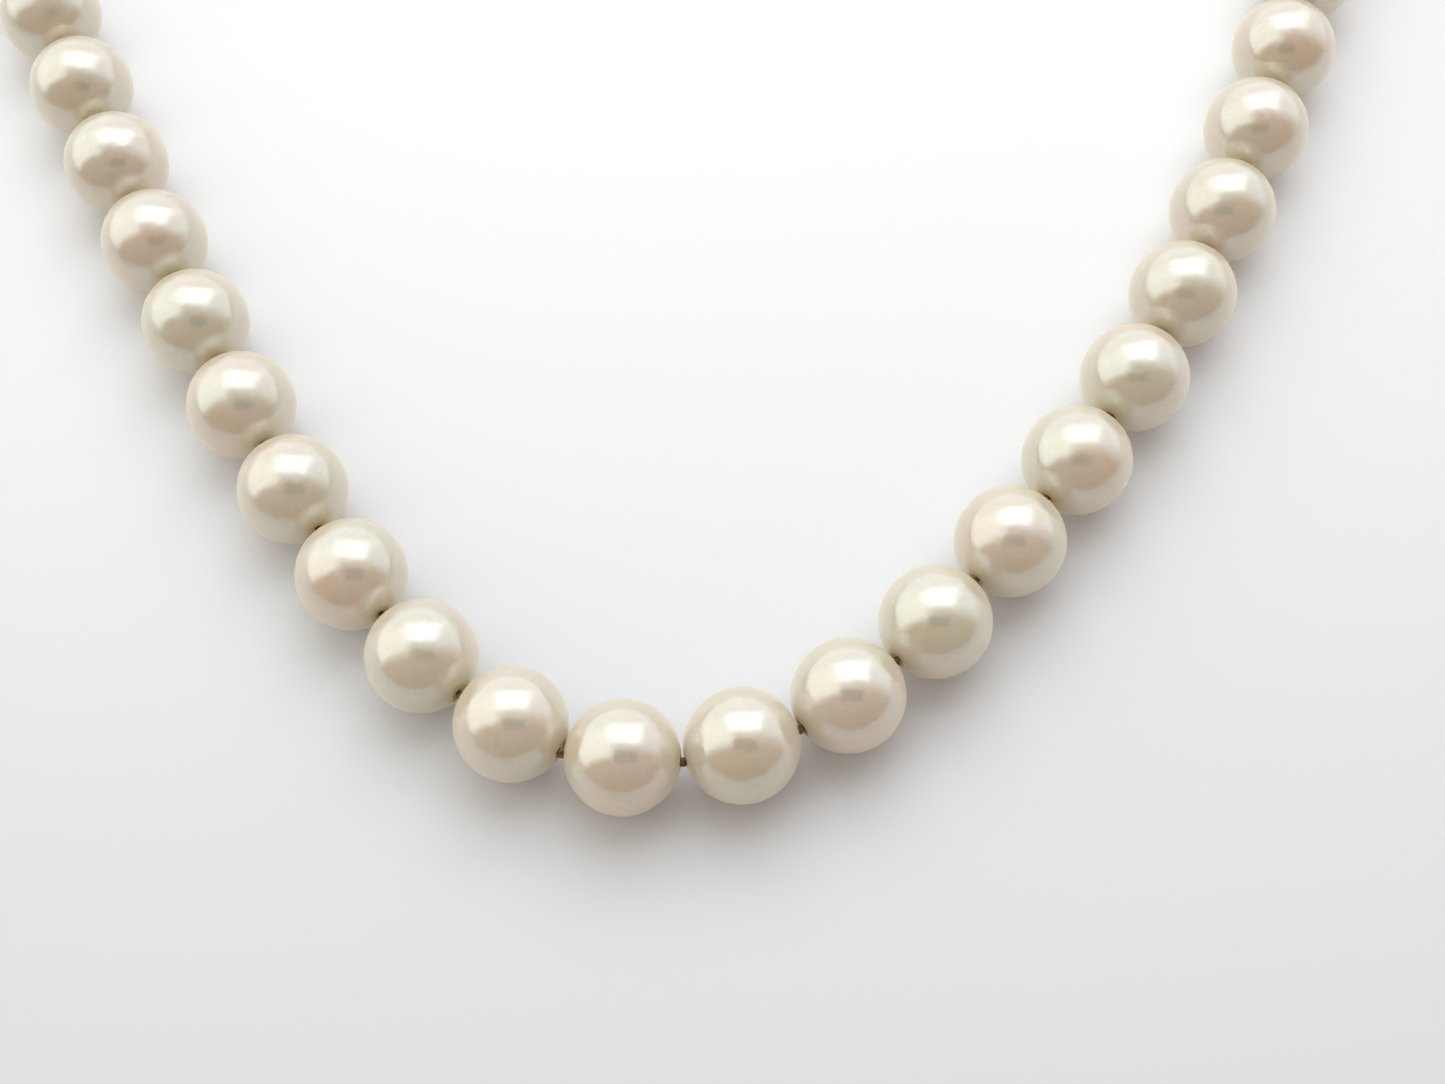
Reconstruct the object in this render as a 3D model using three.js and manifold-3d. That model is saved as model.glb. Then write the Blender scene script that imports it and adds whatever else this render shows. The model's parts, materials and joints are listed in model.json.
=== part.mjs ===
// A single strand of round pearls on a knotted silk thread, with a box clasp at its two ends.
// Millimetres, +Z up. The necklace lies unfastened on the plane z = 0, its front towards -Y and its
// two ends towards +Y, and its origin is the middle of its outline on that plane.

import * as THREE from "three";
import { mergeVertices } from "three/addons/utils/BufferGeometryUtils.js";
import Module from "manifold-3d";

// Strand
const pearlDiameter = 8;
const pearlsPerArm = 23; // on each side of the centre pearl
const drillDiameter = 0.8;
const mouthDiameter = 1.3; // the drilled hole widens at both ends, where the knots nest
const mouthDepth = 0.25;
const knotBend = 28; // degrees that two pearls bend at a knot before they touch
const threadDiameter = 0.5;
const knotDiameter = 0.9;

// Gimp, the coiled wire sleeve that carries the thread round a clasp loop
const gimpDiameter = 0.8;
const gimpReach = 2.5; // from the gimp's ends to the clasp loop that it holds
const gimpRunGap = 0.15; // between the gimp's two ends at the pearl

// Clasp
const claspLength = 13;
const claspWidth = 7;
const claspCorner = 2;
const wall = 0.7;
const wallHeight = 4.2;
const lidThickness = 0.6;
const loopRadius = 1.6; // to the middle of the loop's wire
const loopWire = 0.9;
const slotWidth = 4.2; // the mouth that the tongue enters
const slotTop = 3.4; // under the lip that the spring leaf catches behind
const notchWidth = 1.9; // for the thumb tab, open to the front
const notchLength = 2.6;
const endPlate = 0.8;
const endCorner = 1;
const leafThickness = 0.45;
const leafAngle = 12; // degrees that the spring leaf stands up from the base
const tabStem = 1;
const tabHead = 1.8;
const tabHeight = 2;

// Clearances
const slide = 0.25; // between pieces that move on each other
const seam = 0.3; // between pieces that are joined

// Facets
const pearlSides = 12;
const pearlBands = 6;
const cordSides = 8;
const gimpSteps = 22;
const loopSides = 24;
const cornerSteps = 5;

// The line that the thread lies on, from the box end of the strand to the tongue end. Its points
// are chosen by hand, only as many as the bends need.
const route = [
  [-61, 157],
  [-66, 135],
  [-67, 115],
  [-65, 92],
  [-57, 60],
  [-44, 29],
  [-29, 1],
  [-19, -12],
  [-11.5, -17],
  [-3, -18],
  [5, -16],
  [11, -12],
  [23, 0],
  [33, 13],
  [46, 38],
  [58, 74],
  [62, 98],
  [62, 123],
  [55, 155],
];
const frontPoint = 8; // the point of the route where the knot left of the centre pearl lies
const routeSpacing = 0.05; // between the places tried along the route
const routeExtension = 90; // straight on past each end, for a longer strand

// Worked-out sizes
const pearlRadius = pearlDiameter / 2;
const halfBend = THREE.MathUtils.degToRad(knotBend / 2);
const pitch = pearlDiameter / Math.cos(halfBend); // from one knot's middle to the next
const claspHeight = wallHeight + seam + lidThickness;
const loopHeight = claspHeight / 2;
const gimpStart = knotDiameter / 2 + slide;
const loopHold = gimpStart + gimpReach; // where the gimp holds the clasp loop's wire
const claspStart = loopHold + 2 * loopRadius;
const baseBottom = wall + slide;
const baseTop = baseBottom + leafThickness;
const foldHeight = baseTop + slide + leafThickness / 2;
const tongueEnd = claspStart + claspLength - wall - slide;
const catchStart = claspStart + endPlate + wall + slide; // where the spring leaf ends behind the lip

const pearlMaterial = new THREE.MeshStandardMaterial({ color: 0xe8dfcf, roughness: 0.22, metalness: 0 });
const silkMaterial = new THREE.MeshStandardMaterial({ color: 0xd9cbb2, roughness: 0.8, metalness: 0 });
const gimpMaterial = new THREE.MeshStandardMaterial({ color: 0xb9b7b0, roughness: 0.35, metalness: 1 });
const silverMaterial = new THREE.MeshStandardMaterial({ color: 0xc8c7c3, roughness: 0.22, metalness: 1 });

const wasm = await Module();
wasm.setup();

function toSolid(geometry) {
  const loose = geometry.index ? geometry.toNonIndexed() : geometry;
  const bare = new THREE.BufferGeometry();
  bare.setAttribute("position", loose.getAttribute("position"));
  const merged = mergeVertices(bare, 1e-4);
  const mesh = new wasm.Mesh({
    numProp: 3,
    vertProperties: merged.attributes.position.array,
    triVerts: new Uint32Array(merged.index.array),
  });
  return new wasm.Manifold(mesh);
}

function toGeometry(solid) {
  const mesh = solid.getMesh();
  const geometry = new THREE.BufferGeometry();
  geometry.setAttribute("position", new THREE.BufferAttribute(mesh.vertProperties, 3));
  geometry.setIndex(new THREE.BufferAttribute(mesh.triVerts, 1));
  const flat = geometry.toNonIndexed();
  flat.computeVertexNormals();
  return flat;
}

function named(name, geometry, material) {
  const mesh = new THREE.Mesh(geometry, material);
  mesh.name = name;
  return mesh;
}

// A rectangle from x0 to x1, centred across, with round corners.
function roundedPlan(x0, x1, width, corner) {
  const side = width / 2;
  const plan = new THREE.Shape();
  plan.moveTo(x0 + corner, -side);
  plan.lineTo(x1 - corner, -side);
  plan.absarc(x1 - corner, -side + corner, corner, -Math.PI / 2, 0);
  plan.lineTo(x1, side - corner);
  plan.absarc(x1 - corner, side - corner, corner, 0, Math.PI / 2);
  plan.lineTo(x0 + corner, side);
  plan.absarc(x0 + corner, side - corner, corner, Math.PI / 2, Math.PI);
  plan.lineTo(x0, -side + corner);
  plan.absarc(x0 + corner, -side + corner, corner, Math.PI, Math.PI * 1.5);
  return plan;
}

function flatPlate(plan, thickness) {
  const settings = { depth: thickness, bevelEnabled: false, curveSegments: cornerSteps };
  return new THREE.ExtrudeGeometry(plan, settings);
}

function slab(plan, bottom, height) {
  return toSolid(flatPlate(plan, height).translate(0, 0, bottom));
}

function block(x0, x1, width, z0, z1) {
  const geometry = new THREE.BoxGeometry(x1 - x0, width, z1 - z0);
  return toSolid(geometry.translate((x0 + x1) / 2, 0, (z0 + z1) / 2));
}

// A line of equal straight stretches, for the thread that is stretched from knot to knot.
class KnottedLine extends THREE.Curve {
  constructor(knots) {
    super();
    this.knots = knots;
    this.arcLengthDivisions = knots.length - 1;
  }

  getPoint(t, target = new THREE.Vector3()) {
    const place = t * (this.knots.length - 1);
    const index = Math.min(Math.floor(place), this.knots.length - 2);
    return target.lerpVectors(this.knots[index], this.knots[index + 1], place - index);
  }
}

function tubeAlong(curve, diameter, steps) {
  const section = new THREE.Shape();
  for (let i = 0; i < cordSides; i += 1) {
    const angle = (i / cordSides) * 2 * Math.PI;
    const x = (diameter / 2) * Math.cos(angle);
    const y = (diameter / 2) * Math.sin(angle);
    if (i === 0) section.moveTo(x, y);
    else section.lineTo(x, y);
  }
  return new THREE.ExtrudeGeometry(section, { steps, extrudePath: curve, bevelEnabled: false });
}

// Places along the route at a close spacing, running straight on past both ends.
function routePlaces() {
  const points = route.map(([x, y]) => new THREE.Vector3(x, y, pearlRadius));
  const curve = new THREE.CatmullRomCurve3(points, false, "centripetal");
  const steps = Math.round(curve.getLength() / routeSpacing);
  curve.arcLengthDivisions = steps;
  const places = curve.getSpacedPoints(steps);
  const first = curve.getTangent(0);
  const last = curve.getTangent(1);
  for (let reach = routeSpacing; reach < routeExtension; reach += routeSpacing) {
    places.unshift(places[0].clone().addScaledVector(first, -routeSpacing));
    places.push(places[places.length - 1].clone().addScaledVector(last, routeSpacing));
  }
  return places;
}

// Knots at one pitch after another along the route, walked one way from a starting place.
function walkKnots(places, start, direction, count) {
  const knots = [];
  let index = start;
  let from = places[start];
  while (knots.length < count) {
    while (places[index].distanceTo(from) < pitch) index += direction;
    const short = places[index - direction];
    const shortReach = short.distanceTo(from);
    const share = (pitch - shortReach) / (places[index].distanceTo(from) - shortReach);
    from = short.clone().lerp(places[index], share);
    knots.push(from);
  }
  return knots;
}

function layKnots() {
  const places = routePlaces();
  const [x, y] = route[frontPoint];
  const front = new THREE.Vector3(x, y, pearlRadius);
  let start = 0;
  places.forEach((place, index) => {
    if (place.distanceTo(front) < places[start].distanceTo(front)) start = index;
  });
  const left = walkKnots(places, start, -1, pearlsPerArm).reverse();
  const right = walkKnots(places, start, 1, pearlsPerArm + 1);
  return [...left, places[start], ...right];
}

// A drilled pearl turned about its drilled hole.
function pearlGeometry() {
  const mouth = mouthDiameter / 2;
  const drill = drillDiameter / 2;
  const mouthAngle = Math.asin(mouth / pearlRadius);
  const drillEnd = pearlRadius * Math.cos(mouthAngle) - mouthDepth;
  const profile = [new THREE.Vector2(drill, -drillEnd)];
  for (let i = 0; i <= pearlBands; i += 1) {
    const angle = mouthAngle + (i / pearlBands) * (Math.PI - 2 * mouthAngle);
    profile.push(new THREE.Vector2(pearlRadius * Math.sin(angle), -pearlRadius * Math.cos(angle)));
  }
  profile.push(new THREE.Vector2(drill, drillEnd));
  profile.push(profile[0].clone());
  return new THREE.LatheGeometry(profile, pearlSides);
}

function addPearls(necklace, knots) {
  const geometry = pearlGeometry();
  for (let i = 0; i + 1 < knots.length; i += 1) {
    const along = knots[i + 1].clone().sub(knots[i]);
    const number = String(i + 1).padStart(2, "0");
    const pearl = named(`pearl_${number}`, geometry, pearlMaterial);
    pearl.position.copy(knots[i]).addScaledVector(along, 0.5);
    pearl.rotation.z = Math.atan2(along.y, along.x) - Math.PI / 2;
    necklace.add(pearl);
  }
}

// One thread through every pearl, with a knot between each two and one at each end.
function threadGeometry(knots) {
  const line = new KnottedLine(knots);
  let thread = toSolid(tubeAlong(line, threadDiameter, knots.length - 1));
  knots.forEach((knot, index) => {
    const along = line.getTangentAt(index / (knots.length - 1));
    const bead = new THREE.OctahedronGeometry(knotDiameter / 2);
    bead.rotateZ(Math.atan2(along.y, along.x)).translate(knot.x, knot.y, knot.z);
    thread = thread.add(toSolid(bead));
  });
  return toGeometry(thread);
}

// The gimp leaves the pearl, goes round the clasp loop's wire and comes back to the same pearl.
function gimpGeometry() {
  const apart = (gimpDiameter + gimpRunGap) / 2;
  const wrap = (loopWire + gimpDiameter) / 2 + slide;
  const lead = gimpReach / 5;
  const points = [
    new THREE.Vector3(gimpStart, 0, pearlRadius + apart),
    new THREE.Vector3(gimpStart + lead, 0, pearlRadius + apart),
  ];
  for (const degrees of [80, 35, -10, -55, -100, -140]) {
    const angle = THREE.MathUtils.degToRad(degrees);
    points.push(
      new THREE.Vector3(loopHold + wrap * Math.cos(angle), 0, loopHeight + wrap * Math.sin(angle)),
    );
  }
  points.push(new THREE.Vector3(gimpStart + lead, 0, pearlRadius - apart - lead / 3));
  points.push(new THREE.Vector3(gimpStart, 0, pearlRadius - apart));
  return tubeAlong(new THREE.CatmullRomCurve3(points), gimpDiameter, gimpSteps);
}

// The ring at the strand end of each clasp half, half sunk in the piece that it is joined to.
function claspLoop() {
  const ring = new THREE.TorusGeometry(loopRadius, loopWire / 2, cordSides, loopSides);
  return toSolid(ring.translate(loopHold + loopRadius, 0, loopHeight));
}

function claspBox() {
  const front = claspStart + claspLength;
  const outside = slab(roundedPlan(claspStart, front, claspWidth, claspCorner), 0, wallHeight);
  const insidePlan = roundedPlan(
    claspStart + wall,
    front - wall,
    claspWidth - 2 * wall,
    claspCorner - wall,
  );
  const inside = slab(insidePlan, wall, wallHeight);
  const slot = block(front - 1.5 * wall, front + wall, slotWidth, wall, slotTop);
  const notch = block(front - 1.5 * wall, front + wall, notchWidth, slotTop - wall, wallHeight + wall);
  // The loop is joined before the hollow is cut, so that none of it is left inside.
  const body = outside.add(claspLoop()).subtract(inside).subtract(slot).subtract(notch);
  return named("clasp_box", toGeometry(body), silverMaterial);
}

function claspLid() {
  const front = claspStart + claspLength;
  const plate = slab(
    roundedPlan(claspStart, front, claspWidth, claspCorner),
    wallHeight + seam,
    lidThickness,
  );
  const notch = block(front - notchLength, front + wall, notchWidth, wallHeight, claspHeight + wall);
  return named("clasp_lid", toGeometry(plate.subtract(notch)), silverMaterial);
}

// The end plate closes the box's mouth, and the base leaf slides in along the box's floor.
function tongueBase() {
  const platePlan = roundedPlan(0, claspHeight, claspWidth, endCorner);
  const plate = flatPlate(platePlan, endPlate).rotateY(-Math.PI / 2);
  plate.translate(claspStart + endPlate, 0, 0);
  const leafWidth = slotWidth - 2 * slide;
  const tipRadius = leafWidth / 4;
  const leafPlan = roundedPlan(claspStart + endPlate / 2 - tipRadius, tongueEnd, leafWidth, tipRadius);
  const cutOff = block(claspStart - leafWidth, claspStart + endPlate / 2, claspWidth, 0, claspHeight);
  const leaf = slab(leafPlan, baseBottom, leafThickness).subtract(cutOff);
  return named("tongue_base", toGeometry(claspLoop().add(toSolid(plate)).add(leaf)), silverMaterial);
}

// The spring leaf and its tab stand in a group whose origin is the fold at the tongue's tip.
function springLeaf() {
  const group = new THREE.Group();
  group.position.set(tongueEnd - leafThickness, 0, foldHeight);
  group.rotation.y = THREE.MathUtils.degToRad(leafAngle);
  const length = (group.position.x - catchStart) / Math.cos(group.rotation.y);
  const width = slotWidth - 4 * slide;
  const leaf = new THREE.BoxGeometry(length, width, leafThickness).translate(-length / 2, 0, 0);
  group.add(named("tongue_leaf", leaf, silverMaterial));

  const stem = tabStem / 2;
  const head = tabHead / 2;
  const headStart = tabHeight * 0.6;
  const profile = [
    [0, 0],
    [stem, 0],
    [stem, headStart],
    [head, headStart + head - stem],
    [head, tabHeight - 0.2],
    [head - 0.2, tabHeight],
    [0, tabHeight],
  ].map(([x, y]) => new THREE.Vector2(x, y));
  const tab = named("tongue_tab", new THREE.LatheGeometry(profile, pearlSides), silverMaterial);
  tab.rotation.x = Math.PI / 2;
  tab.position.set(stem - length + slide, 0, leafThickness / 2 + seam);
  group.add(tab);
  return group;
}

// A frame at the last knot of an arm: x away from the strand, z up from the surface.
function armEnd(inner, outer) {
  const group = new THREE.Group();
  group.position.set(outer.x, outer.y, 0);
  group.rotation.z = Math.atan2(outer.y - inner.y, outer.x - inner.x);
  return group;
}

const necklace = new THREE.Group();
const knots = layKnots();
addPearls(necklace, knots);
necklace.add(named("silk_thread", threadGeometry(knots), silkMaterial));

const boxEnd = armEnd(knots[1], knots[0]);
boxEnd.add(named("gimp_left", gimpGeometry(), gimpMaterial), claspBox(), claspLid());
const tongueSide = armEnd(knots[knots.length - 2], knots[knots.length - 1]);
tongueSide.add(named("gimp_right", gimpGeometry(), gimpMaterial), tongueBase(), springLeaf());
necklace.add(boxEnd, tongueSide);

// The origin is the middle of the outline, on the surface that the necklace lies on.
necklace.updateMatrixWorld(true);
const outline = new THREE.Box3().setFromObject(necklace, true);
const middle = outline.getCenter(new THREE.Vector3());
necklace.position.set(-middle.x, -middle.y, -outline.min.z);

export default necklace;
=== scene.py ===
# A single strand of round cream pearls, knotted on silk, with a silver box clasp at its open ends.
import json
import math

import bmesh
import bpy
from mathutils import Matrix, Vector


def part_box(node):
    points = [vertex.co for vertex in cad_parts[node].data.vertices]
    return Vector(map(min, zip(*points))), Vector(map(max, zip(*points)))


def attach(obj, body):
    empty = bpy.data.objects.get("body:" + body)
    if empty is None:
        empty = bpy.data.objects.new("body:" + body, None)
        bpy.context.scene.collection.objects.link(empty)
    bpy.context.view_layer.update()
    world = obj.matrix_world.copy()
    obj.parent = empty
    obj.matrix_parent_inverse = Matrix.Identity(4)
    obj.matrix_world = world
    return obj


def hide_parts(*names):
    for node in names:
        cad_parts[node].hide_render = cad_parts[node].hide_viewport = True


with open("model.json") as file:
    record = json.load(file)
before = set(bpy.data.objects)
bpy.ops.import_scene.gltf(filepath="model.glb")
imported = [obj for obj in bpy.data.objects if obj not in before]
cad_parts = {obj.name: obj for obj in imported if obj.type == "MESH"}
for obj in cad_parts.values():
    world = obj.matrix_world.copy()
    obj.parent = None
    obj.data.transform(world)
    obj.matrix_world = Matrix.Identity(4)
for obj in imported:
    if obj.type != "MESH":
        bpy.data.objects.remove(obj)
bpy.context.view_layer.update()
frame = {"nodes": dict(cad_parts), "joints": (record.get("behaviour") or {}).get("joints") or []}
scene = bpy.context.scene
mm = 0.001
print("frame loaded:", len(frame["nodes"]), "nodes")


# Small tools

def linear(hexColour):
    channels = [int(hexColour[i:i + 2], 16) / 255 for i in (1, 3, 5)]
    return [c / 12.92 if c <= 0.04045 else ((c + 0.055) / 1.055) ** 2.4 for c in channels] + [1.0]


def addNode(tree, kind, settings=None, links=None):
    # settings go to the node's properties or its sockets, links are output sockets to plug in
    node = tree.nodes.new(kind)
    for key, value in (settings or {}).items():
        if isinstance(key, str) and hasattr(node, key):
            setattr(node, key, value)
        else:
            node.inputs[key].default_value = value
    for key, socket in (links or {}).items():
        tree.links.new(socket, node.inputs[key])
    return node


def mathsOf(tree):
    # short arithmetic in a tree: each value is a number or an output socket
    def maths(operation, *values):
        settings = {slot: value for slot, value in enumerate(values) if isinstance(value, (int, float))}
        links = {slot: value for slot, value in enumerate(values) if slot not in settings}
        return addNode(tree, "ShaderNodeMath", {"operation": operation, **settings}, links).outputs[0]
    return maths


def startTree(name, inputs):
    # a geometry tree with one named input for each size, and the node that holds them
    tree = bpy.data.node_groups.new(name, "GeometryNodeTree")
    tree.interface.new_socket("Geometry", in_out="INPUT", socket_type="NodeSocketGeometry")
    for label, kind in inputs.items():
        tree.interface.new_socket(label, in_out="INPUT", socket_type="NodeSocket" + kind)
    tree.interface.new_socket("Geometry", in_out="OUTPUT", socket_type="NodeSocketGeometry")
    return tree, addNode(tree, "NodeGroupInput")


def endTree(tree, geometry, sizes):
    smooth = addNode(tree, "GeometryNodeSetShadeSmooth", {"Shade Smooth": True}, {"Geometry": geometry})
    real = addNode(tree, "GeometryNodeRealizeInstances", links={"Geometry": smooth.outputs[0]})
    links = {"Geometry": real.outputs[0], "Material": sizes.outputs["Material"]}
    painted = addNode(tree, "GeometryNodeSetMaterial", links=links)
    addNode(tree, "NodeGroupOutput", links={"Geometry": painted.outputs[0]})


def grow(tree, values, path=()):
    # runs a tree, on a path of points where it follows one, and gives the result as a plain mesh
    start = bpy.data.meshes.new("start")
    start.from_pydata([tuple(p) for p in path], [(i, i + 1) for i in range(len(path) - 1)], [])
    carrier = bpy.data.objects.new("carrier", start)
    scene.collection.objects.link(carrier)
    modifier = carrier.modifiers.new("Build", "NODES")
    modifier.node_group = tree
    for item in tree.interface.items_tree:
        if item.in_out == "INPUT" and item.name in values:
            modifier[item.identifier] = values[item.name]
    graph = bpy.context.evaluated_depsgraph_get()
    mesh = bpy.data.meshes.new_from_object(carrier.evaluated_get(graph))
    carrier.modifiers.remove(modifier)
    bpy.data.objects.remove(carrier)
    return mesh


def turnOut(mesh, doubles=0.0):
    # merges doubles and turns every face outwards
    work = bmesh.new()
    work.from_mesh(mesh)
    if doubles:
        bmesh.ops.remove_doubles(work, verts=work.verts, dist=doubles)
    bmesh.ops.recalc_face_normals(work, faces=work.faces)
    work.to_mesh(mesh)
    work.free()
    return mesh


def addPiece(name, mesh, body, nodes=(), material=None):
    piece = bpy.data.objects.new(name, mesh)
    scene.collection.objects.link(piece)
    if material:
        mesh.materials.clear()
        mesh.materials.append(material)
    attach(piece, body)
    if nodes:
        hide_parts(*nodes)
    return piece


def perSize(millimetres):
    # the texture scale whose pattern has that size
    return 1 / (millimetres * mm)


# Where things are: the knots of the silk, in order from the box end to the tongue end

knotPlace = {joint["name"]: Vector(joint["pos_m"]) for joint in frame["joints"]}
perArm = 24
knots = [knotPlace[f"knot_left_{n:02d}"] for n in range(perArm, 0, -1)]
knots += [knotPlace[f"knot_right_{n:02d}"] for n in range(1, perArm + 1)]
pearlCount = len(knots) - 1
pearlNames = [f"pearl_{n:02d}" for n in range(1, pearlCount + 1)]


def armEnd(inner, outer):
    # x away from the strand, z up, the floor under the last knot at zero
    along = (outer - inner).normalized()
    turn = Matrix.Rotation(math.atan2(along.y, along.x), 4, "Z")
    return Matrix.Translation((outer.x, outer.y, 0)) @ turn


# Camera, first: the strand's front curve seen from above at a steep slant

cameraSizes = {
    "lens": 49.83,
    "elevation": 65.41,
    "roll": -2.65,
    "distance": 0.14636,
    "aimFromFrontPearl": (0.00743, 0.0175, -0.004),
}


def placeCamera():
    low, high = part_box("pearl_24")
    aim = (low + high) / 2 + Vector(cameraSizes["aimFromFrontPearl"])
    tilt = math.radians(cameraSizes["elevation"])
    back = Vector((0, -math.cos(tilt), math.sin(tilt)))
    right = Vector((1, 0, 0))
    up = back.cross(right)
    roll = math.radians(cameraSizes["roll"])
    rolledRight = right * math.cos(roll) + up * math.sin(roll)
    rolledUp = up * math.cos(roll) - right * math.sin(roll)
    camera = bpy.data.cameras.new("camera")
    camera.lens = cameraSizes["lens"]
    camera.sensor_width = 36
    camera.clip_start = 0.005
    camera.clip_end = 20
    holder = bpy.data.objects.new("camera", camera)
    turn = Matrix((rolledRight, rolledUp, back)).transposed().to_4x4()
    holder.matrix_world = Matrix.Translation(aim + back * cameraSizes["distance"]) @ turn
    scene.collection.objects.link(holder)
    scene.camera = holder
    return aim


aim = placeCamera()
print("camera placed")


# Light: a white room with one big soft window behind and above the strand

lightSizes = {
    "backdrop": "#f1f1f1",
    # each light: its colour and level on matt things, then in a mirror image
    "room": (("#f2f6fa", 0.7), ("#eef8ff", 1.65)),
    "shade": (("#bdb2aa", 0.93), ("#c9a792", 0.82)),  # whoever stands at the near side
    "shadeEdge": (0.3, -0.3),
    "windows": (  # soft-edged panes: how far left, right, near and far they reach, from 0 overhead
        {"light": (("#fbfdf8", 1.35), ("#f6fef8", 2.1)), "left": (-1.3, -1.2), "right": (-0.1, -0.5),
         "near": (-0.4, -0.1), "far": (0.75, 0.45)},
        {"light": (("#f4f9ff", 2.7), ("#f6fbff", 3.6)), "left": (-0.6, -0.1), "right": (0.72, 0.45),
         "near": (0.06, 0.3), "far": (0.84, 0.62)},
    ),
    "horizon": (0.0, 0.2),
    "cardSize": 0.06,
    "cardPlace": (0.02, 0.002, 0.01),  # in the camera's own axes
    "cardColour": "#101114",
    "fillPower": 1.1,
    "fillSize": (0.7, 0.3),
    "fillPlace": (0, 0.55, 0.55),
    "fillAim": (0, 0.02, 0),
}


def makeWorld():
    world = bpy.data.worlds.new("softRoom")
    world.use_nodes = True
    scene.world = world
    tree = world.node_tree
    tree.nodes.clear()
    ray = addNode(tree, "ShaderNodeTexCoord").outputs["Generated"]
    parts = addNode(tree, "ShaderNodeSeparateXYZ", links={"Vector": ray}).outputs

    def edge(value, reach):
        ramp = addNode(tree, "ShaderNodeMapRange", {
            "interpolation_type": "SMOOTHSTEP", "From Min": reach[0], "From Max": reach[1],
        }, {"Value": value})
        return ramp.outputs["Result"]

    lightPath = addNode(tree, "ShaderNodeLightPath").outputs

    def toned(light):
        matt, mirrored = ([c * level for c in linear(colour)[:3]] + [1.0] for colour, level in light)
        return addNode(tree, "ShaderNodeMix", {"data_type": "RGBA", 6: matt, 7: mirrored}, {
            0: lightPath["Is Glossy Ray"],
        }).outputs[2]

    room = addNode(tree, "ShaderNodeMix", {"data_type": "RGBA"}, {
        0: edge(parts["Y"], lightSizes["shadeEdge"]), 6: toned(lightSizes["room"]),
        7: toned(lightSizes["shade"]),
    })
    colour = room.outputs[2]
    aboveFloor = edge(parts["Z"], lightSizes["horizon"])
    for pane in lightSizes["windows"]:
        share = aboveFloor
        for axis, side in (("X", "left"), ("X", "right"), ("Y", "near"), ("Y", "far")):
            share = addNode(tree, "ShaderNodeMath", {"operation": "MULTIPLY"}, {
                0: share, 1: edge(parts[axis], pane[side]),
            }).outputs[0]
        colour = addNode(tree, "ShaderNodeMix", {"data_type": "RGBA"}, {
            0: share, 6: colour, 7: toned(pane["light"]),
        }).outputs[2]

    light = addNode(tree, "ShaderNodeBackground", links={"Color": colour})
    backdrop = addNode(tree, "ShaderNodeBackground", {"Color": linear(lightSizes["backdrop"])})
    mixed = addNode(tree, "ShaderNodeMixShader", links={
        0: lightPath["Is Camera Ray"], 1: light.outputs[0], 2: backdrop.outputs[0],
    })
    addNode(tree, "ShaderNodeOutputWorld", links={"Surface": mixed.outputs[0]})


def plainMaterial(name, colour, roughness):
    material = bpy.data.materials.new(name)
    material.use_nodes = True
    shader = material.node_tree.nodes["Principled BSDF"]
    shader.inputs["Base Color"].default_value = linear(colour)
    shader.inputs["Roughness"].default_value = roughness
    return material


def makeCard():
    # the small dark thing that each pearl mirrors in its middle, just right of the camera
    size = lightSizes["cardSize"]
    mesh = bpy.data.meshes.new("mirroredCard")
    mesh.from_pydata([(-size, -size / 2, 0), (size, -size / 2, 0), (size, size / 2, 0), (-size, size / 2, 0)],
                     [], [(0, 1, 2, 3)])
    card = bpy.data.objects.new("mirroredCard", mesh)
    card.matrix_world = scene.camera.matrix_world @ Matrix.Translation(lightSizes["cardPlace"])
    mesh.materials.append(plainMaterial("blackCard", lightSizes["cardColour"], 0.8))
    scene.collection.objects.link(card)
    card.visible_camera = False
    card.visible_shadow = False
    card.visible_diffuse = False


def makeFill():
    # a soft lamp past the far edge, so that the paper is brighter there, not mirrored in the pearls
    lamp = bpy.data.lights.new("farFill", "AREA")
    lamp.shape = "RECTANGLE"
    lamp.size, lamp.size_y = lightSizes["fillSize"]
    lamp.energy = lightSizes["fillPower"]
    holder = bpy.data.objects.new("farFill", lamp)
    place = Vector(lightSizes["fillPlace"])
    look = (Vector(lightSizes["fillAim"]) - place).to_track_quat("-Z", "Y")
    holder.matrix_world = Matrix.Translation(place) @ look.to_matrix().to_4x4()
    holder.visible_glossy = False
    holder.visible_camera = False
    scene.collection.objects.link(holder)


# the paper's painted pool of light: its light and dull colours, and where and how wide the pool is
paper = {
    "half": 2.5,
    "light": "#fbfbfc",
    "dull": "#d5d6d7",
    "poolPlace": -0.06,  # the light pool's middle, from the camera's aim
    "poolSqueeze": 0.5,  # distances along x count this much, so the pool is wide
    "poolReach": 0.13,
}


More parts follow.
